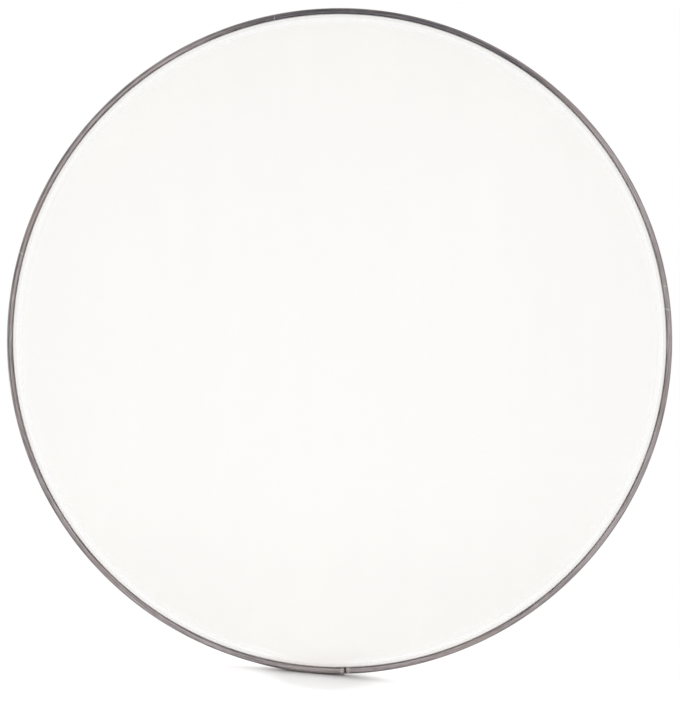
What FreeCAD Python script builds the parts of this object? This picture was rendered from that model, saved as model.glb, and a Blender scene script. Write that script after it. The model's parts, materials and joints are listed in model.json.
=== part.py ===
# Drum head for a 22 inch drum: a formed plastic film, hemmed round a steel wire and
# locked in a hoop that is rolled from aluminium strip, with a bead of glue behind the hem.
#
# The head stands upright, as it does on a bass drum. The drum's axis is Y, and the playing
# face looks along -Y. The origin is on the axis, on the drum side of the film, where the
# film sits on the edge of the shell. Lengths are in millimetres and angles in degrees.
import FreeCAD, Part
import math
import os

from FreeCAD import Vector

# Shell that the head goes over
SHELL_DIAMETER = 558.8
SHELL_CLEARANCE = 1.2

# Film, measured on its drum side
FILM_THICKNESS = 0.25
COLLAR_STEP = 9.5
CROWN_RADIUS = 6.0
COLLAR_LEAN = 20.0
ENTRY_BEND_RADIUS = 3.0
HEM_TAIL = 1.5

# Hoop, measured on the outside of its strip
STRIP_THICKNESS = 0.8
HOOP_WIDTH = 6.4
HOOP_DEPTH = 10.0
SLOT_DEPTH = 1.2
BACK_BEND_RADIUS = 1.4
LIP_BEND_RADIUS = 1.4
FRONT_LAND = 0.95
LIP_LENGTH = 1.8
SEAM_GAP = 0.7
SEAM_FROM_LOWEST_POINT = 0.94

# Wire inside the hem
WIRE_DIAMETER = 2.6
WIRE_GAP = 1.0

# Angles about the axis, from +X towards -Z
LOWEST_POINT = 90.0
HIGHEST_POINT = 270.0
FULL_TURN = 360.0
HALF_TURN = 180.0
QUARTER_TURN = 90.0

# Every ring is swept in this many equal sectors, which share their end faces
SWEEP_SECTORS = 8

AXIS_POINT = Vector(0, 0, 0)
AXIS = Vector(0, 1, 0)

# Radii of the hoop's walls, and of the two faces of the film in its slot
hoop_inner_radius = SHELL_DIAMETER / 2 + SHELL_CLEARANCE
hoop_outer_radius = hoop_inner_radius + HOOP_WIDTH
slot_inner_radius = hoop_inner_radius + STRIP_THICKNESS
slot_outer_radius = slot_inner_radius + FILM_THICKNESS
channel_outer_radius = hoop_outer_radius - STRIP_THICKNESS

# Places along the axis, from the seat on the shell's edge back towards the drum
front_land_y = COLLAR_STEP
slot_y = front_land_y + SLOT_DEPTH
lip_end_y = front_land_y + LIP_BEND_RADIUS + LIP_LENGTH
hoop_back_y = front_land_y + HOOP_DEPTH
channel_back_y = hoop_back_y - STRIP_THICKNESS

# The wire lies just behind the end of the lip, and the film goes round it
wire_radius = WIRE_DIAMETER / 2
wire_circle_radius = slot_outer_radius + wire_radius
wire_y = lip_end_y + wire_radius
hem_radius = wire_radius + FILM_THICKNESS


def heading(angle):
    """Unit vector of a direction in the section plane, where X is the radius and Y the axis."""
    return Vector(math.cos(math.radians(angle)), math.sin(math.radians(angle)), 0)


def line(start, end):
    return Part.LineSegment(start, end).toShape()


def bend_edge(centre, radius, start_angle, turn):
    """Arc that goes from start_angle by turn, seen from its centre."""
    points = [centre + heading(start_angle + turn * share) * radius for share in (0, 0.5, 1)]
    return Part.Arc(*points).toShape()


def strip_section(start, angle, moves, thickness):
    """Section of a strip. Its left side starts at a point, runs along a heading and makes the
    moves: a straight run is (length,), and a bend is (radius, turn), with left turns positive.
    Its right side lies one thickness away."""
    left, right = [], []
    point = start
    first = (point, point + heading(angle - QUARTER_TURN) * thickness)
    for move in moves:
        if len(move) == 1:
            across = heading(angle - QUARTER_TURN) * thickness
            end = point + heading(angle) * move[0]
            left.append(line(point, end))
            right.append(line(point + across, end + across))
            point = end
        else:
            radius, turn = move
            side = math.copysign(QUARTER_TURN, turn)
            centre = point + heading(angle + side) * radius
            right_radius = radius + math.copysign(thickness, turn)
            left.append(bend_edge(centre, radius, angle - side, turn))
            right.append(bend_edge(centre, right_radius, angle - side, turn))
            angle += turn
            point = centre + heading(angle - side) * radius
    last = (point, point + heading(angle - QUARTER_TURN) * thickness)
    edges = left + [line(*last)] + right[::-1] + [line(*first)]
    return Part.Face(Part.Wire(Part.__sortEdges__(edges)))


def joined(solids):
    """One solid made of solids that meet face to face."""
    return solids[0].fuse(solids[1:]).Solids[0]


def ring(section, gap_middle=0.0, gap_angle=0.0):
    """Solid swept by a section about the axis, with a gap in the ring where its ends meet."""
    turn = (FULL_TURN - gap_angle) / SWEEP_SECTORS
    sectors = []
    for number in range(SWEEP_SECTORS):
        start = section.copy()
        start.rotate(AXIS_POINT, AXIS, gap_middle + gap_angle / 2 + number * turn)
        sectors.append(start.revolve(AXIS_POINT, AXIS, turn))
    return joined(sectors)


def arc_angle(length, radius):
    """Angle that a length takes up on a circle."""
    return math.degrees(length / radius)


def make_film():
    """One sheet: flat playing face, crown, collar, and a hem that goes round the wire."""
    crown_turn = QUARTER_TURN - COLLAR_LEAN
    lean = math.radians(COLLAR_LEAN)
    crown_reach = CROWN_RADIUS * math.cos(lean)
    crown_rise = CROWN_RADIUS * (1 - math.sin(lean))
    entry_reach = ENTRY_BEND_RADIUS * (1 - math.cos(lean))
    entry_rise = ENTRY_BEND_RADIUS * math.sin(lean)
    wall_length = (slot_y - crown_rise - entry_rise) / math.cos(lean)
    wall_reach = wall_length * math.sin(lean)
    flat_radius = slot_inner_radius - crown_reach - wall_reach - entry_reach
    moves = [
        (CROWN_RADIUS, crown_turn),
        (wall_length,),
        (ENTRY_BEND_RADIUS, COLLAR_LEAN),
        (wire_y - slot_y,),
        (hem_radius, -HALF_TURN),
        (HEM_TAIL,),
    ]
    collar = ring(strip_section(Vector(flat_radius, 0, 0), 0.0, moves, FILM_THICKNESS))
    playing_face = Part.makeCylinder(flat_radius, FILM_THICKNESS, AXIS_POINT, -AXIS)
    return joined([playing_face, collar])


def make_hoop_channel():
    """Rolled strip: inner wall, back, outer wall, rounded front, and a lip that holds the film
    against the inner wall. The ends of the strip butt together at the seam."""
    front_width = hoop_outer_radius - slot_outer_radius
    shoulder_radius = front_width - FRONT_LAND - LIP_BEND_RADIUS
    moves = [
        (hoop_back_y - BACK_BEND_RADIUS - slot_y,),
        (BACK_BEND_RADIUS, -QUARTER_TURN),
        (HOOP_WIDTH - 2 * BACK_BEND_RADIUS,),
        (BACK_BEND_RADIUS, -QUARTER_TURN),
        (HOOP_DEPTH - BACK_BEND_RADIUS - shoulder_radius,),
        (shoulder_radius, -QUARTER_TURN),
        (FRONT_LAND,),
        (LIP_BEND_RADIUS, -QUARTER_TURN),
        (LIP_LENGTH,),
    ]
    start = Vector(hoop_inner_radius, slot_y, 0)
    section = strip_section(start, QUARTER_TURN, moves, STRIP_THICKNESS)
    seam = LOWEST_POINT - SEAM_FROM_LOWEST_POINT
    return ring(section, seam, arc_angle(SEAM_GAP, hoop_outer_radius))


def make_lock_wire():
    """Round wire whose ends butt together at the top, opposite the seam of the hoop."""
    centre = Vector(wire_circle_radius, wire_y, 0)
    circle = Part.Circle(centre, Vector(0, 0, 1), wire_radius)
    section = Part.Face(Part.Wire(circle.toShape()))
    return ring(section, HIGHEST_POINT, arc_angle(WIRE_GAP, wire_circle_radius))


def make_glue_bead():
    """Glue in the outer back corner of the channel, which it fills from the hem to the wall."""
    corner_radius = BACK_BEND_RADIUS - STRIP_THICKNESS
    wire_centre = Vector(wire_circle_radius, wire_y, 0)
    corner_centre = Vector(channel_outer_radius - corner_radius, channel_back_y - corner_radius, 0)
    hem_side = wire_centre + heading(0) * hem_radius
    hem_back = wire_centre + heading(QUARTER_TURN) * hem_radius
    floor_start = Vector(wire_circle_radius, channel_back_y, 0)
    floor_end = corner_centre + heading(QUARTER_TURN) * corner_radius
    wall_start = corner_centre + heading(0) * corner_radius
    wall_end = Vector(channel_outer_radius, wire_y, 0)
    edges = [
        bend_edge(wire_centre, hem_radius, 0.0, QUARTER_TURN),
        line(hem_back, floor_start),
        line(floor_start, floor_end),
        bend_edge(corner_centre, corner_radius, QUARTER_TURN, -QUARTER_TURN),
        line(wall_start, wall_end),
        line(wall_end, hem_side),
    ]
    return ring(Part.Face(Part.Wire(edges)))


def main():
    pieces = {
        "drum_film": make_film(),
        "hoop_channel": make_hoop_channel(),
        "lock_wire": make_lock_wire(),
        "glue_bead": make_glue_bead(),
    }
    os.makedirs("parts", exist_ok=True)
    for name, solid in pieces.items():
        solid.exportStep(f"parts/{name}.step")
        print(f"{name}: valid {solid.isValid()}, {solid.Volume:.0f} mm3")


main()
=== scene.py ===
import bpy
import json
import math
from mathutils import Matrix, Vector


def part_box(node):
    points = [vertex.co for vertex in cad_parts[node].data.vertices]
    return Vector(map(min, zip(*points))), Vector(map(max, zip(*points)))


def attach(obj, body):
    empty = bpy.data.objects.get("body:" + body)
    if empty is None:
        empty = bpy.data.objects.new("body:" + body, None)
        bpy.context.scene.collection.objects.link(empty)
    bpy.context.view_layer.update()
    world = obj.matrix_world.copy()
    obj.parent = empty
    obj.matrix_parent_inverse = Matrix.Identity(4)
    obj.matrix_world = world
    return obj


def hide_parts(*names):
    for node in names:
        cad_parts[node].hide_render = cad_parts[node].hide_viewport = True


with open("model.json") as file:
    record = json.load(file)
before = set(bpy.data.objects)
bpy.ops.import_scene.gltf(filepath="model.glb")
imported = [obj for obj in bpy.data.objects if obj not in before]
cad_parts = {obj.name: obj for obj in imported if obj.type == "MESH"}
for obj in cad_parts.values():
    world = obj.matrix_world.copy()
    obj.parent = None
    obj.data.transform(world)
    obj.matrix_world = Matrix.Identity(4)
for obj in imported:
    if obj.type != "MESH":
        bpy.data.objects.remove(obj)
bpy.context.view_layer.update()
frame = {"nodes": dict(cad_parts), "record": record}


# Lock wire: a ring of steel wire that lies inside the film's hem. It is thicker than the slot of
# the hoop, so the film can't pull out. It is drawn through a die, which leaves fine lines along
# it, cut to length, bent round and butted at the top.
MM = 0.001
NOISE_MEAN = 0.5
WIRE_STEEL = (0.36, 0.36, 0.37, 1)
WIRE_DARK = (0.17, 0.16, 0.16, 1)
WIRE_STAIN_SIZE = (9 * MM, 9 * MM, 9 * MM)
WIRE_STAIN_EDGES = (0.35, 0.65)
DRAWN_LINE_SIZE = (0.05 * MM, 0.05 * MM, 1.0)
DRAWN_LINE_DEPTH = 0.01 * MM
DRAWN_LINE_ROUGHNESS = 0.2
WIRE_ROUGHNESS = 0.34


def maths(operation, turned=False):
    """Operator on readings that adds a Math node."""
    def work(self, other):
        pair = (other, self) if turned else (self, other)
        return self.finish.add("Math", {"operation": operation}, dict(enumerate(pair)))
    return work


class Reading:
    """What a node puts out. Sums on readings of numbers add Math nodes."""

    def __init__(self, finish, socket):
        self.finish = finish
        self.socket = socket

    __add__ = __radd__ = maths("ADD")
    __mul__ = __rmul__ = maths("MULTIPLY")
    __sub__ = maths("SUBTRACT")
    __rsub__ = maths("SUBTRACT", turned=True)
    __truediv__ = maths("DIVIDE")
    __pow__ = maths("POWER")
    turn_from = maths("ARCTAN2")

    def output(self, name):
        """Another output of the same node."""
        return Reading(self.finish, self.socket.node.outputs[name])

    def hypot(self, other):
        """Length of the long side of a right triangle with these two sides."""
        return (self * self + other * other) ** 0.5

    def size(self):
        """A number without its sign."""
        return self.finish.add("Math", {"operation": "ABSOLUTE"}, {0: self})

    def rise(self, start, end, low=0.0, high=1.0):
        """Smooth step of a number, from low at start to high at end."""
        sockets = {"Value": self, 1: start, 2: end, 3: low, 4: high}
        return self.finish.add("MapRange", {"interpolation_type": "SMOOTHSTEP"}, sockets)

    def near(self, middle, reach):
        """1 where a number is at the middle, falling to 0 at the reach on both sides."""
        return (self - middle).size().rise(0.0, reach, 1.0, 0.0)

    def toward(self, goal, share):
        """A number moved by a share of the way to a goal."""
        return self + (goal - self) * share


class Finish:
    """The nodes of a material, or of the sky."""

    def __init__(self, owner):
        owner.use_nodes = True
        self.tree = owner.node_tree
        self.tree.nodes.clear()

    def add(self, kind, settings=None, sockets=None, output=0):
        """Node of a kind: its settings come first, then the values and links of its sockets."""
        node = self.tree.nodes.new("ShaderNode" + kind)
        for name, value in (settings or {}).items():
            setattr(node, name, value)
        for name, value in (sockets or {}).items():
            if isinstance(value, Reading):
                self.tree.links.new(value.socket, node.inputs[name])
            else:
                node.inputs[name].default_value = value
        return Reading(self, node.outputs[output] if node.outputs else None)

    def place(self, kind="Object"):
        """Where a point lies on the object, as x, y and z in metres, or in other coordinates."""
        x = self.add("SeparateXYZ", {}, {0: self.add("TexCoord", output=kind)})
        return x, x.output("Y"), x.output("Z")

    def cells(self, place, size):
        """Vector that grows by one for each cell of a size, along each of three directions."""
        counts = [part / width for part, width in zip(place, size)]
        return self.add("CombineXYZ", {}, dict(enumerate(counts)))

    def noise(self, place, size, detail=2.0):
        """Cloudy pattern about NOISE_MEAN, in cells of a size."""
        sockets = {"Vector": self.cells(place, size), "Scale": 1.0, "Detail": detail}
        return self.add("TexNoise", {}, sockets)

    def tint(self, share, low, high):
        """Colour between two colours."""
        return self.add("Mix", {"data_type": "RGBA"}, {0: share, 6: low, 7: high}, output=2)

    def relief(self, height, depth):
        """Normal of a surface that stands out by a depth where the height is 1."""
        return self.add("Bump", {}, {"Height": height, "Strength": 1.0, "Distance": depth})

    def surface(self, **sockets):
        """Ends a material in one surface shader."""
        named = {name.replace("_", " "): value for name, value in sockets.items()}
        shader = self.add("BsdfPrincipled", {}, named)
        self.add("OutputMaterial", {}, {"Surface": shader})


def material(name):
    """New material, and its nodes."""
    made = bpy.data.materials.new(name)
    return made, Finish(made)


def dress(piece, finish):
    """Gives a piece one material."""
    piece.data.materials.clear()
    piece.data.materials.append(finish)


def drawn_steel():
    """Dark steel with stains, and with lines along the wire."""
    made, nodes = material("drawn_steel")
    x, y, z = nodes.place()
    lines = nodes.noise((x.hypot(z), y, 0.0), DRAWN_LINE_SIZE)
    stains = nodes.noise((x, y, z), WIRE_STAIN_SIZE)
    nodes.surface(
        Base_Color=nodes.tint(stains.rise(*WIRE_STAIN_EDGES), WIRE_DARK, WIRE_STEEL),
        Metallic=1.0,
        Roughness=WIRE_ROUGHNESS + DRAWN_LINE_ROUGHNESS * (lines - NOISE_MEAN),
        Normal=nodes.relief(lines, DRAWN_LINE_DEPTH),
    )
    return made


dress(frame["nodes"]["lock_wire"], drawn_steel())
wire_low, wire_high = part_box("lock_wire")
wire_radius = (wire_high.y - wire_low.y) / 2
wire_ring_radius = wire_high.x - wire_radius
wire_y = wire_low.y + wire_radius


# Film: one sheet of clear polyester with a slight haze, formed hot over a mould so that it has a
# flat playing face, a rounded crown and a collar. Its edge goes into the slot of the hoop and is
# hemmed round the lock wire. Taken off the drum it is slack, so the flat has faint tall waves.
CROWN_RADIUS = 6.0 * MM
COLLAR_LEAN = math.radians(20)
ENTRY_BEND_RADIUS = 3.0 * MM
SLOT_DEPTH = 1.2 * MM
HEM_TAIL = 1.5 * MM
FILM_ANGLES = 480
FLAT_RINGS = 56
HUB_RADIUS = 3.0 * MM
SHARP_FROM = math.radians(50)

WAVE_LENGTH = 125 * MM
WAVE_HEIGHT = 0.22 * MM
WAVE_SWAY = 0.35
WAVE_SWAY_START = 0.8
RIPPLE_SHARE = 0.4
RIPPLE_PACE = 5.3

FILM_WHITE = (0.955, 0.942, 0.912, 1)
FILM_SHADE = (0.93, 0.917, 0.886, 1)
FILM_PAINTED_SHADE = (0.72, 0.655, 0.63, 1)
COLLAR_HIGHLIGHT_WHITE = (0.99, 0.985, 0.975, 1)
HEM_PAINTED_DARK = (0.10, 0.065, 0.03, 1)
FILM_IOR = 1.5
FILM_ROUGHNESS = 0.3
CLOUD_ROUGHNESS = 0.1
COLLAR_COAT = 0.8
COAT_ROUGHNESS = 0.15

CLOUD_SIZE = (75 * MM, 75 * MM, 360 * MM)
CLOUD_EDGES = (0.143, 0.857)
GRAIN_SIZE = (0.8 * MM, 0.8 * MM, 0.8 * MM)
GRAIN_DEPTH = 0.004 * MM
COLLAR_BEFORE_FLAT_EDGE = 5 * MM
COLLAR_PAST_FLAT_EDGE = 3 * MM
ENTRY_PAST_FLAT_EDGE = 5 * MM
HIDDEN_PAST_FRONT = (1.0 * MM, 1.6 * MM)
LOW_SHADE_SHARE = 0.13
LOW_SHADE_Z = (-120 * MM, -250 * MM)
FOOT_SHADOW_SHARE = 0.5
FOOT_SHADOW_Z = (-260 * MM, -277 * MM)
FOOT_SHADOW_X = -20 * MM
FOOT_SHADOW_REACH = 85 * MM

FILM_COVER = 0.27
FILM_HAZE_SHADE = 0.14
SHADE_SIDEWAYS = 0.35
CLOUD_COVER = 0.05
COLLAR_COVER = 0.18
ENTRY_COVER = 0.5
FOOT_SHADOW_COVER = 0.2
SHADOW_COVER = 0.06

hoop_low, hoop_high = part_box("hoop_channel")
film_thickness = -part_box("drum_film")[0].y
slot_radius = wire_ring_radius - wire_radius - film_thickness
slot_y = hoop_low.y + SLOT_DEPTH


def step(point, angle, length):
    return point[0] + length * math.cos(angle), point[1] + length * math.sin(angle)


def strip_pairs(start, angle, moves, thickness):
    """Section of a strip, as pairs of points on its two sides. Its left side makes the moves: a
    straight run is (length, parts), and a bend is (radius, turn, parts), left turns positive."""
    point = start
    pairs = [(point, step(point, angle - math.pi / 2, thickness))]
    for *sizes, parts in moves:
        for _ in range(parts):
            if len(sizes) == 1:
                point = step(point, angle, sizes[0] / parts)
            else:
                radius, turn = sizes
                chord = 2 * radius * abs(math.sin(turn / parts / 2))
                point = step(point, angle + turn / parts / 2, chord)
                angle += turn / parts
            pairs.append((point, step(point, angle - math.pi / 2, thickness)))
    return pairs


def swept(name, pairs, start, turn, parts, hub=None):
    """Mesh piece that a strip's section sweeps about the axis. A full turn closes on itself, and
    a smaller one has capped ends. With a hub, the section starts at points on the axis."""
    closed = math.isclose(turn, 2 * math.pi)
    stations = parts if closed else parts + 1
    count = len(pairs)
    last = count - 1
    verts = []
    for number in range(stations):
        angle = start + turn * number / parts
        for pair in pairs:
            for radius, y in pair:
                verts.append((radius * math.cos(angle), y, -radius * math.sin(angle)))

    def at(station, place, side):
        return 2 * ((station % stations) * count + place) + side

    faces = []
    for number in range(parts):
        ahead = number + 1
        for place in range(last):
            after = place + 1
            left = [at(number, place, 0), at(ahead, place, 0), at(ahead, after, 0), at(number, after, 0)]
            right = [at(number, place, 1), at(number, after, 1), at(ahead, after, 1), at(ahead, place, 1)]
            faces += [left, right]
        faces.append([at(number, last, 0), at(ahead, last, 0), at(ahead, last, 1), at(number, last, 1)])
        if hub is None:
            faces.append([at(number, 0, 0), at(number, 0, 1), at(ahead, 0, 1), at(ahead, 0, 0)])
        else:
            middle = stations * count * 2
            faces.append([middle, at(ahead, 0, 0), at(number, 0, 0)])
            faces.append([middle + 1, at(number, 0, 1), at(ahead, 0, 1)])
    if hub is not None:
        verts += [(0, y, 0) for y in hub]
    if not closed:
        end = stations - 1
        for place in range(last):
            after = place + 1
            faces.append([at(0, place, 0), at(0, after, 0), at(0, after, 1), at(0, place, 1)])
            faces.append([at(end, place, 0), at(end, place, 1), at(end, after, 1), at(end, after, 0)])
    mesh = bpy.data.meshes.new(name)
    mesh.from_pydata(verts, [], faces)
    mesh.update()
    piece = bpy.data.objects.new(name, mesh)
    bpy.context.scene.collection.objects.link(piece)
    return piece


def smooth(piece):
    """Shades a piece as smooth, apart from its sharp edges."""
    piece.data.shade_smooth()
    piece.data.set_sharp_from_angle(angle=SHARP_FROM)


def film_section():
    """Pairs of the film's section, and the radius of its flat."""
    crown_reach = CROWN_RADIUS * math.cos(COLLAR_LEAN)
    crown_rise = CROWN_RADIUS * (1 - math.sin(COLLAR_LEAN))
    entry_reach = ENTRY_BEND_RADIUS * (1 - math.cos(COLLAR_LEAN))
    entry_rise = ENTRY_BEND_RADIUS * math.sin(COLLAR_LEAN)
    wall = (slot_y - crown_rise - entry_rise) / math.cos(COLLAR_LEAN)
    flat_radius = slot_radius - crown_reach - wall * math.sin(COLLAR_LEAN) - entry_reach
    moves = [
        (flat_radius - HUB_RADIUS, FLAT_RINGS),
        (CROWN_RADIUS, math.pi / 2 - COLLAR_LEAN, 12),
        (wall, 4),
        (ENTRY_BEND_RADIUS, COLLAR_LEAN, 5),
        (wire_y - slot_y, 3),
        (wire_radius + film_thickness, -math.pi, 16),
        (HEM_TAIL, 2),
    ]
    return strip_pairs((HUB_RADIUS, 0.0), 0.0, moves, film_thickness), flat_radius


def slack_wave(x, z, share):
    """How far the slack film stands out, at a share of the flat's radius."""
    hold = max(0.0, 1 - share ** 4)
    sway = WAVE_SWAY * math.sin(math.pi * z / WAVE_LENGTH / 2 + WAVE_SWAY_START)
    columns = math.cos(2 * math.pi * x / WAVE_LENGTH + sway)
    ripple = math.sin(RIPPLE_PACE * z / WAVE_LENGTH + 2 * sway)
    return WAVE_HEIGHT * hold * (columns + RIPPLE_SHARE * ripple)


def polyester():
    """Hazy film, clearer and glossier on the collar. Painted on it: a whiter collar as a highlight,
    shade towards its top, bottom and foot, and dark shade inside the hoop.
    """
    made, nodes = material("polyester_film")
    x, y, z = nodes.place()
    radius = x.hypot(z)
    clouds = nodes.noise((x, y, z), CLOUD_SIZE)
    grain = nodes.noise((x, y, z), GRAIN_SIZE)
    crown_start = film_flat_radius - COLLAR_BEFORE_FLAT_EDGE
    collar = radius.rise(crown_start, film_flat_radius + COLLAR_PAST_FLAT_EDGE)
    entry = radius.rise(film_flat_radius + ENTRY_PAST_FLAT_EDGE, slot_radius)
    hidden = (y - hoop_low.y).rise(*HIDDEN_PAST_FRONT)

    colour = nodes.tint(clouds.rise(*CLOUD_EDGES), FILM_SHADE, FILM_WHITE)
    # Painted highlight: the collar is painted whiter than the flat.
    colour = nodes.tint(collar, colour, COLLAR_HIGHLIGHT_WHITE)
    # Painted shade: darker towards the bottom, and a painted shadow low at the foot, where the film is
    # also made less clear.
    foot_shadow = z.rise(*FOOT_SHADOW_Z) * x.near(FOOT_SHADOW_X, FOOT_SHADOW_REACH)
    painted_shade = LOW_SHADE_SHARE * z.rise(*LOW_SHADE_Z) + FOOT_SHADOW_SHARE * foot_shadow
    colour = nodes.tint(painted_shade, colour, FILM_PAINTED_SHADE)

    # Painted shade: the film is made less clear towards its top and bottom, and a little towards its
    # sides, so it looks darker there.
    shade_spread = (z * z + SHADE_SIDEWAYS * x * x) / film_flat_radius ** 2
    cover = FILM_COVER + FILM_HAZE_SHADE * shade_spread + CLOUD_COVER * (clouds - NOISE_MEAN)
    cover = cover.toward(COLLAR_COVER + FOOT_SHADOW_COVER * foot_shadow, collar)
    cover = cover.toward(ENTRY_COVER, entry).toward(1.0, hidden)
    shadow = nodes.add("LightPath", output="Is Shadow Ray")
    nodes.surface(
        # Painted shade: the film inside the hoop's channel is painted dark, as the shade that shows
        # through the seam.
        Base_Color=nodes.tint(hidden, colour, HEM_PAINTED_DARK),
        Roughness=FILM_ROUGHNESS + CLOUD_ROUGHNESS * (clouds - NOISE_MEAN),
        IOR=FILM_IOR,
        Coat_Weight=COLLAR_COAT * collar * (1 - hidden),
        Coat_Roughness=COAT_ROUGHNESS,
        Alpha=cover.toward(SHADOW_COVER, shadow),
        Normal=nodes.relief(grain, GRAIN_DEPTH),
    )
    return made


film_pairs, film_flat_radius = film_section()
film = swept("film", film_pairs, 0.0, 2 * math.pi, FILM_ANGLES, hub=(0.0, -film_thickness))
for vertex in film.data.vertices:
    share = math.hypot(vertex.co.x, vertex.co.z) / film_flat_radius
    vertex.co.y += slack_wave(vertex.co.x, vertex.co.z, share)
smooth(film)
dress(film, polyester())
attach(film, "root")
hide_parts("drum_film")


# Hoop: aluminium strip, roll-formed into a closed channel with a rounded front and a lip that pins
# the film in the slot. The rolls leave fine lines along it. It is bent round the hemmed film and
# its ends butt at the bottom, where both have sprung out a little, the left one more.
BACK_BEND_RADIUS = 1.4 * MM
LIP_BEND_RADIUS = 1.4 * MM
FRONT_LAND = 0.95 * MM
SEAM_GAP = 0.7 * MM
SEAM_FROM_LOWEST_POINT = math.radians(0.94)
SEAM_SKEW = 0.12
SKEW_LENGTH = 12 * MM
SPRUNG_LEFT = 1.1 * MM
SPRUNG_RIGHT = 0.5 * MM
SPRUNG_LENGTH = 70 * MM
HOOP_ANGLES = 720

HOOP_LIGHT = (0.49, 0.44, 0.442, 1)
HOOP_DARK = (0.13, 0.114, 0.119, 1)
HOOP_SHADE_COOL = (0.14, 0.14, 0.17, 1)
HOOP_BROWN = (0.33, 0.275, 0.25, 1)
HOOP_EDGE_SHEEN = (0.8, 0.73, 0.69, 1)
HOOP_BARE = (0.9, 0.88, 0.86, 1)
HOOP_CRACK = (0.03, 0.027, 0.027, 1)

LINE_SIZE = (0.5 * MM, 0.5 * MM, 30 * MM)
STREAK_SIZE = (1.1 * MM, 1.1 * MM, 45 * MM)
PATCH_SIZE = (1.2 * MM, 1.2 * MM, 9 * MM)
DRIFT_SIZE = (140 * MM, 1.0, 1.0)
HOOP_TONE = 0.15
FRONT_HIGHLIGHT_TONE = 0.42
STREAK_TONE = 1.5
PATCH_TONE = 0.9
LINE_TONE = 1.1
TONE_EDGES = (-0.2, 1.0)
FRONT_DEPTH = (1.0 * MM, 0.1 * MM)

ROLL_LINE_TONE = -0.7
ROLL_LINE_INWARD = 2.2 * MM
ROLL_LINE_WIDTH = 1.0 * MM
ROLL_LINE_ANGLE = math.radians(-75)
ROLL_LINE_LENGTH = 360 * MM
TOP_SHADE_TONE = -0.6
TOP_SHADE_TINT = 0.4
TOP_SHADE_ANGLE = math.radians(12)
TOP_SHADE_LENGTH = 260 * MM
TOP_SHADE_EDGES = (0.15, 0.7)
TOP_SHADE_INWARD = (1.9 * MM, 3.3 * MM)
BROWN_SHARE = 0.45
BROWN_EDGES = (0.45, 0.7)

EDGE_SHEEN_SHARE = 0.85
EDGE_SHEEN_INWARD = 0.9 * MM
EDGE_SHEEN_LINES = 0.6
EDGE_SHEEN_EDGES = (0.35, 0.62)
CONTACT_SHADE_SHARE = 0.7
CONTACT_SHADE_INWARD = 1.0 * MM
CONTACT_SHADE_FROM_SEAM = (70 * MM, 45 * MM)
INSIDE_EDGE = 0.2 * MM

NICKS = [(-10.2, 0.7), (-73.5, 0.6), (81.7, 0.6), (85.8, 0.9)]
NICK_LEAN = 0.4
NICK_SHARE = 0.56
NICK_EDGES = (0.3, 0.6)
NICK_DEPTH = (4 * MM, 3 * MM)
WORN_SHARE = 0.42
WORN_FROM_SEAM = 2.8 * MM
WORN_REACH = 2.2 * MM
WORN_EDGES = (0.35, 0.6)
CRACK_FROM_SEAM = (1.1 * MM, 0.5 * MM)

HOOP_ROUGHNESS = 0.38
LINE_ROUGHNESS = 0.2
FRONT_SMOOTHER = 0.06
INSIDE_SMOOTHER = 0.15
LINE_DEPTH = 0.02 * MM
PATCH_RELIEF = 0.6

hoop_radius = hoop_high.x
shell_bore = next(m for m in frame["record"]["mounts"] if m["name"] == "shell_bore")
bore_radius = shell_bore["dims"]["r_mm"] * MM
strip_thickness = slot_radius - bore_radius
lip_radius = slot_radius + film_thickness
seam = math.pi / 2 - SEAM_FROM_LOWEST_POINT
seam_angle = SEAM_GAP / hoop_radius


def hoop_section():
    """Pairs of the strip's section, from the front edge of its inner wall round to the lip."""
    quarter = math.pi / 2
    shoulder_radius = hoop_radius - lip_radius - FRONT_LAND - LIP_BEND_RADIUS
    moves = [
        (hoop_high.y - BACK_BEND_RADIUS - slot_y, 4),
        (BACK_BEND_RADIUS, -quarter, 7),
        (hoop_radius - bore_radius - 2 * BACK_BEND_RADIUS, 4),
        (BACK_BEND_RADIUS, -quarter, 7),
        (hoop_high.y - hoop_low.y - BACK_BEND_RADIUS - shoulder_radius, 4),
        (shoulder_radius, -quarter, 10),
        (FRONT_LAND, 3),
        (LIP_BEND_RADIUS, -quarter, 8),
        (wire_low.y - hoop_low.y - LIP_BEND_RADIUS, 3),
    ]
    return strip_pairs((bore_radius, slot_y), quarter, moves, strip_thickness)


def spring_open(vertex):
    """Moves a point of the hoop outward near the seam, and skews the cut ends."""
    radius = math.hypot(vertex.co.x, vertex.co.z)
    angle = math.atan2(-vertex.co.z, vertex.co.x)
    left = (angle - seam) % (2 * math.pi) * hoop_radius
    right = 2 * math.pi * hoop_radius - left
    sprung = SPRUNG_LEFT * math.exp(-(left / SPRUNG_LENGTH) ** 2)
    sprung += SPRUNG_RIGHT * math.exp(-(right / SPRUNG_LENGTH) ** 2)
    radius += sprung * max(0.0, (radius - lip_radius) / (hoop_radius - lip_radius))
    skew = SEAM_SKEW * (vertex.co.y - hoop_low.y)
    angle += skew / hoop_radius * max(0.0, 1 - min(left, right) / SKEW_LENGTH)
    vertex.co.x = radius * math.cos(angle)
    vertex.co.z = -radius * math.sin(angle)


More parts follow.
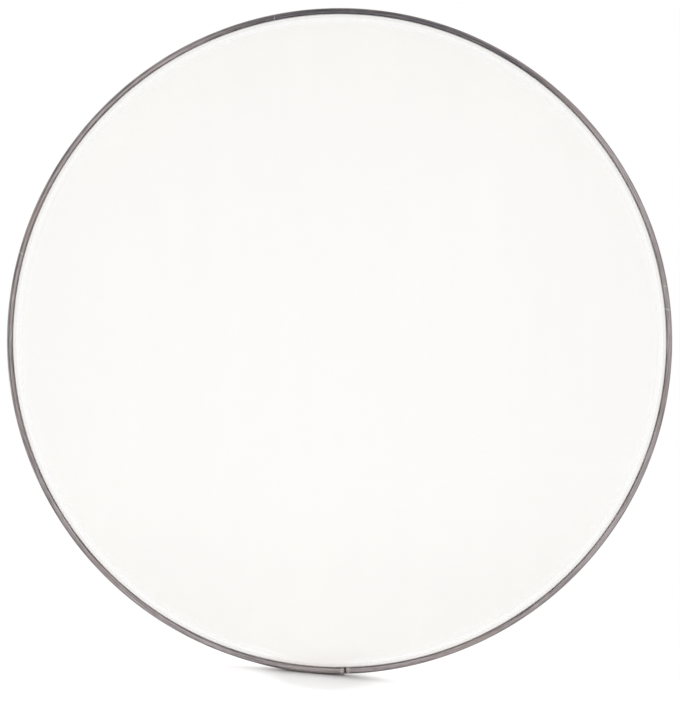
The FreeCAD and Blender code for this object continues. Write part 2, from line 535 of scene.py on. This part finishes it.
def mill_aluminium():
    """Rolled metal with lines along it, bare inside, nicked in a few places, and worn at both sides of
    the dark seam. Painted light and shade: a lighter front, a lighter, warmer outer edge, a darker,
    cooler top right, and a dark outer edge left of the seam where it stands."""
    made, nodes = material("mill_aluminium")
    x, y, z = nodes.place()
    radius = x.hypot(z)
    inward = hoop_radius - radius
    depth = y - hoop_low.y
    lean = SEAM_FROM_LOWEST_POINT
    across = x * math.cos(lean) + z * math.sin(lean)
    along = across.turn_from(z * math.cos(lean) - x * math.sin(lean)) * hoop_radius
    from_seam = math.pi * hoop_radius - along.size()

    lines = nodes.noise((radius, y, along), LINE_SIZE, detail=3.0)
    streaks = nodes.noise((radius, y, along), STREAK_SIZE, detail=3.0)
    patches = nodes.noise((radius, y, along), PATCH_SIZE, detail=4.0)
    drift = nodes.noise((along, 0.0, 0.0), DRIFT_SIZE)
    front = depth.rise(*FRONT_DEPTH)
    left_side = along.near(ROLL_LINE_ANGLE * hoop_radius, ROLL_LINE_LENGTH)
    roll_line = inward.near(ROLL_LINE_INWARD, ROLL_LINE_WIDTH) * left_side
    # Painted shade: the outer part of the front is painted darker and cooler at the top right, where it
    # faces the dark overhead.
    top_shade = along.near(TOP_SHADE_ANGLE * hoop_radius, TOP_SHADE_LENGTH).rise(*TOP_SHADE_EDGES)
    top_shade = top_shade * inward.rise(*TOP_SHADE_INWARD)

    # Painted highlight: the front of the channel is painted lighter than its bends.
    tone = HOOP_TONE + FRONT_HIGHLIGHT_TONE * front + STREAK_TONE * (streaks - NOISE_MEAN)
    tone = tone + PATCH_TONE * (patches - NOISE_MEAN) + LINE_TONE * (lines - NOISE_MEAN)
    tone = tone + ROLL_LINE_TONE * roll_line * (drift + NOISE_MEAN) + TOP_SHADE_TONE * top_shade
    colour = nodes.tint(tone.rise(*TONE_EDGES), HOOP_DARK, HOOP_LIGHT)
    colour = nodes.tint(TOP_SHADE_TINT * top_shade, colour, HOOP_SHADE_COOL)
    colour = nodes.tint(BROWN_SHARE * drift.rise(*BROWN_EDGES) * (1 - top_shade), colour, HOOP_BROWN)

    # Painted sheen: the outermost edge of the hoop, where it turns away to the side, is painted lighter
    # and warmer.
    sheen_lines = EDGE_SHEEN_LINES * lines + (1 - EDGE_SHEEN_LINES) * streaks
    wall = nodes.tint(sheen_lines.rise(*EDGE_SHEEN_EDGES), HOOP_BROWN, HOOP_EDGE_SHEEN)
    colour = nodes.tint(EDGE_SHEEN_SHARE * inward.rise(EDGE_SHEEN_INWARD, 0.0), colour, wall)
    # Painted shadow: the outer edge just left of the seam, where the hoop meets the floor, is painted
    # dark.
    contact_shade = inward.rise(CONTACT_SHADE_INWARD, 0.0) * from_seam.rise(*CONTACT_SHADE_FROM_SEAM) * along.rise(0.0, -MM)
    colour = nodes.tint(CONTACT_SHADE_SHARE * contact_shade, colour, HOOP_DARK)
    inside = radius.rise(slot_radius, slot_radius - INSIDE_EDGE)
    colour = nodes.tint(inside, colour, HOOP_BARE)

    worn = WORN_SHARE * from_seam.near(WORN_FROM_SEAM, WORN_REACH) * patches.rise(*WORN_EDGES)
    nicked = NICK_SHARE * patches.rise(*NICK_EDGES) * depth.rise(*NICK_DEPTH)
    for angle, width in NICKS:
        middle = math.radians(angle) * hoop_radius - NICK_LEAN * inward
        worn = worn + nicked * along.near(middle, width * MM)
    colour = nodes.tint(worn, colour, HOOP_BARE)
    crack = from_seam.rise(*CRACK_FROM_SEAM) * (1 - inside)
    roughness = HOOP_ROUGHNESS + LINE_ROUGHNESS * (lines - NOISE_MEAN)
    nodes.surface(
        Base_Color=nodes.tint(crack, colour, HOOP_CRACK),
        Metallic=1.0,
        Roughness=roughness - FRONT_SMOOTHER * front - INSIDE_SMOOTHER * inside,
        Normal=nodes.relief(lines + PATCH_RELIEF * patches, LINE_DEPTH),
    )
    return made


hoop = swept("hoop", hoop_section(), seam + seam_angle / 2, 2 * math.pi - seam_angle, HOOP_ANGLES)
for vertex in hoop.data.vertices:
    spring_open(vertex)
smooth(hoop)
dress(hoop, mill_aluminium())
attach(hoop, "root")
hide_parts("hoop_channel")


# Glue bead: amber glue, run into the back corner of the channel before it was closed, which
# keeps the hem and the wire from rattling. It set with a few small bubbles in it.
GLUE_AMBER = (0.26, 0.15, 0.055, 1)
GLUE_PALE = (0.36, 0.23, 0.10, 1)
GLUE_CLOUD_SIZE = (6 * MM, 6 * MM, 6 * MM)
GLUE_CLOUD_EDGES = (0.3, 0.7)
GLUE_BUBBLE_SIZE = (0.6 * MM, 0.6 * MM, 0.6 * MM)
GLUE_BUBBLE_EDGES = (0.1, 0.4)
GLUE_BUBBLE_DEPTH = 0.05 * MM
GLUE_ROUGHNESS = 0.3
GLUE_CLOUD_ROUGHNESS = 0.25


def set_glue():
    """Cloudy amber with small round pits."""
    made, nodes = material("set_glue")
    place = nodes.place()
    clouds = nodes.noise(place, GLUE_CLOUD_SIZE, detail=3.0)
    cells = {"Vector": nodes.cells(place, GLUE_BUBBLE_SIZE), "Scale": 1.0}
    bubbles = nodes.add("TexVoronoi", {}, cells, output="Distance")
    nodes.surface(
        Base_Color=nodes.tint(clouds.rise(*GLUE_CLOUD_EDGES), GLUE_AMBER, GLUE_PALE),
        Roughness=GLUE_ROUGHNESS + GLUE_CLOUD_ROUGHNESS * clouds,
        Normal=nodes.relief(bubbles.rise(*GLUE_BUBBLE_EDGES), GLUE_BUBBLE_DEPTH),
    )
    return made


dress(frame["nodes"]["glue_bead"], set_glue())


# Stage: a white floor that fades into a white surround, whose grey ceiling shows only in gloss.
# Soft lamps stand in front and behind, and a level camera looks straight at the playing face. The
# floor glows a little for the camera, and less in an oval round the foot, which keeps the shadow
# there and also paints a soft shade of its own.
FLOOR_PALE = (0.92, 0.92, 0.92, 1)
FLOOR_WHITE = (0.95, 0.95, 0.95, 1)
FLOOR_BEHIND = (0.45, 0.45, 0.45, 1)
FLOOR_UNLIT = (0.0, 0.0, 0.0, 1)
FLOOR_MOTTLE_SIZE = (0.3, 0.3, 1.0)
FLOOR_BEHIND_Y = (0.0, 0.1)
FLOOR_GLOW = 0.32
FLOOR_GLOW_BEHIND = 0.56
FLOOR_GLOW_FOOT = 0.0
FLOOR_DIM_THROUGH_FILM = 0.45
FOOT_PLACE = -18 * MM
FOOT_SHADE_LENGTH = 64 * MM
FOOT_SHADE_DEPTH = 58 * MM
FOOT_SHADE_EDGES = (0.4, 1.05)
FLOOR_ROLL = math.radians(5.0)
FLOOR_RADIUS = 0.95
FLOOR_FADE = 0.5
FLOOR_MIDDLE = -0.45

SURROUND_WHITE = (1.0, 1.0, 1.0, 1)
SURROUND_FRONT = 0.5
SURROUND_SIDE = 0.9
SURROUND_BACK = 0.3
SURROUND_FRONT_EDGES = (-0.9, -0.3)
SURROUND_BACK_EDGES = (0.2, 0.7)
CEILING_GREY = (0.12, 0.12, 0.12, 1)
CEILING_HEIGHT = (0.32, 0.55)
CEILING_REACH = 0.7
CEILING_BACK = (0.1, -0.3)

LAMP_FRONT_PLACE = (-0.03, -0.9, 0.03)
LAMP_FRONT_TARGET = (0.0, 0.0, 0.03)
LAMP_FRONT_SIZE = (0.5, 0.5)
LAMP_FRONT_POWER = 2.05
LAMP_BACK_X = 0.15
LAMP_BACK_Y = 1.6
LAMP_BACK_HEIGHT = 1.1
LAMP_BACK_SIZE = (3.2, 2.1)
LAMP_BACK_POWER = 26.0

IMAGE_WIDTH = 680
IMAGE_CENTRE_PX = (340.0, 353.5)
HOOP_CENTRE_PX = (339.63, 340.6)
HOOP_RADIUS_PX = 333.5
CAMERA_DISTANCE = 1.0
SENSOR_WIDTH = 36.0
VIEW_END = 100.0


def seen_directly(nodes):
    """1 for rays from the camera, through the film too, and for those that gloss sends on."""
    path = nodes.add("LightPath", output="Is Camera Ray")
    return nodes.add("Clamp", {}, {"Value": path + path.output("Is Glossy Ray")})


def floor_paint():
    """Mottled white that glows a little, is darker behind the head and fades out at its edge."""
    made, nodes = material("white_floor")
    x, y, z = nodes.place()
    mottle = nodes.noise((x, y, z), FLOOR_MOTTLE_SIZE, detail=3.0)
    behind = y.rise(*FLOOR_BEHIND_Y)
    colour = nodes.tint(behind, nodes.tint(mottle, FLOOR_PALE, FLOOR_WHITE), FLOOR_BEHIND)
    diffuse = nodes.add("BsdfDiffuse", {}, {"Color": colour})
    from_foot = ((x - FOOT_PLACE) / FOOT_SHADE_LENGTH).hypot(y / FOOT_SHADE_DEPTH)
    level = from_foot.rise(*FOOT_SHADE_EDGES, FLOOR_GLOW_FOOT, FLOOR_GLOW)
    seen = nodes.add("LightPath", output="Is Camera Ray")
    through_film = seen.output("Transparent Depth").rise(0.0, 1.0)
    level = level * (1 - FLOOR_DIM_THROUGH_FILM * through_film)
    level = level.toward(FLOOR_GLOW_BEHIND, behind)
    lit = nodes.tint(level * seen, FLOOR_UNLIT, SURROUND_WHITE)
    glow = nodes.add("Emission", {}, {"Color": lit, "Strength": 1.0})
    paint = nodes.add("AddShader", {}, {0: diffuse, 1: glow})
    fade = x.hypot(y - FLOOR_MIDDLE).rise(FLOOR_FADE, FLOOR_RADIUS)
    faded = nodes.add("MixShader", {}, {0: fade, 1: paint, 2: nodes.add("BsdfTransparent")})
    nodes.add("OutputMaterial", {}, {"Surface": faded})
    return made


def surround(owner):
    """White for every ray that sees it, and a level for each side where it only lights things."""
    nodes = Finish(owner)
    x, y, z = nodes.place("Generated")
    gloss = nodes.add("LightPath", output="Is Glossy Ray")
    ceiling = z.rise(*CEILING_HEIGHT) * x.near(0.0, CEILING_REACH) * y.rise(*CEILING_BACK)
    shade = nodes.tint(ceiling * gloss, SURROUND_WHITE, CEILING_GREY)
    level = y.rise(*SURROUND_FRONT_EDGES, SURROUND_FRONT, SURROUND_SIDE)
    level = level.toward(SURROUND_BACK, y.rise(*SURROUND_BACK_EDGES))
    level = level.toward(1.0, seen_directly(nodes))
    light = nodes.add("Background", {}, {"Color": shade, "Strength": level})
    nodes.add("OutputWorld", {}, {"Surface": light})


def soft_lamp(name, place, target, size, power):
    """Lamp that lights the scene and isn't seen itself."""
    lamp = bpy.data.lights.new(name, "AREA")
    lamp.shape = "RECTANGLE"
    lamp.size, lamp.size_y = size
    lamp.energy = power
    made = bpy.data.objects.new(name, lamp)
    made.location = place
    away = Vector(place) - Vector(target)
    made.rotation_euler = away.to_track_quat("Z", "Y").to_euler()
    made.visible_camera = False
    made.visible_glossy = False
    bpy.context.scene.collection.objects.link(made)


slope = math.tan(FLOOR_ROLL)
foot = min(vertex.co.z + slope * vertex.co.x for vertex in hoop.data.vertices)
corners = []
for side, end in ((-1, -1), (1, -1), (1, 1), (-1, 1)):
    corner_x = side * FLOOR_RADIUS
    corners.append((corner_x, end * FLOOR_RADIUS + FLOOR_MIDDLE, foot - slope * corner_x))
floor_mesh = bpy.data.meshes.new("floor")
floor_mesh.from_pydata(corners, [], [(0, 1, 2, 3)])
floor = bpy.data.objects.new("floor", floor_mesh)
bpy.context.scene.collection.objects.link(floor)
dress(floor, floor_paint())

world = bpy.data.worlds.new("white_surround")
bpy.context.scene.world = world
surround(world)

soft_lamp("lamp_front", LAMP_FRONT_PLACE, LAMP_FRONT_TARGET, LAMP_FRONT_SIZE, LAMP_FRONT_POWER)
lamp_back_place = (LAMP_BACK_X, LAMP_BACK_Y, foot + LAMP_BACK_HEIGHT)
soft_lamp("lamp_back", lamp_back_place, (0.0, 0.0, foot), LAMP_BACK_SIZE, LAMP_BACK_POWER)

camera = bpy.data.objects.new("camera", bpy.data.cameras.new("camera"))
bpy.context.scene.collection.objects.link(camera)
pixel = hoop_radius / HOOP_RADIUS_PX
camera.location = (
    (IMAGE_CENTRE_PX[0] - HOOP_CENTRE_PX[0]) * pixel,
    hoop_low.y - CAMERA_DISTANCE,
    (HOOP_CENTRE_PX[1] - IMAGE_CENTRE_PX[1]) * pixel,
)
camera.rotation_euler = (math.pi / 2, 0, 0)
camera.data.sensor_fit = "HORIZONTAL"
camera.data.sensor_width = SENSOR_WIDTH
camera.data.lens = SENSOR_WIDTH * CAMERA_DISTANCE / (IMAGE_WIDTH * pixel)
camera.data.clip_end = VIEW_END
bpy.context.scene.camera = camera
bpy.context.scene.view_settings.view_transform = "Standard"
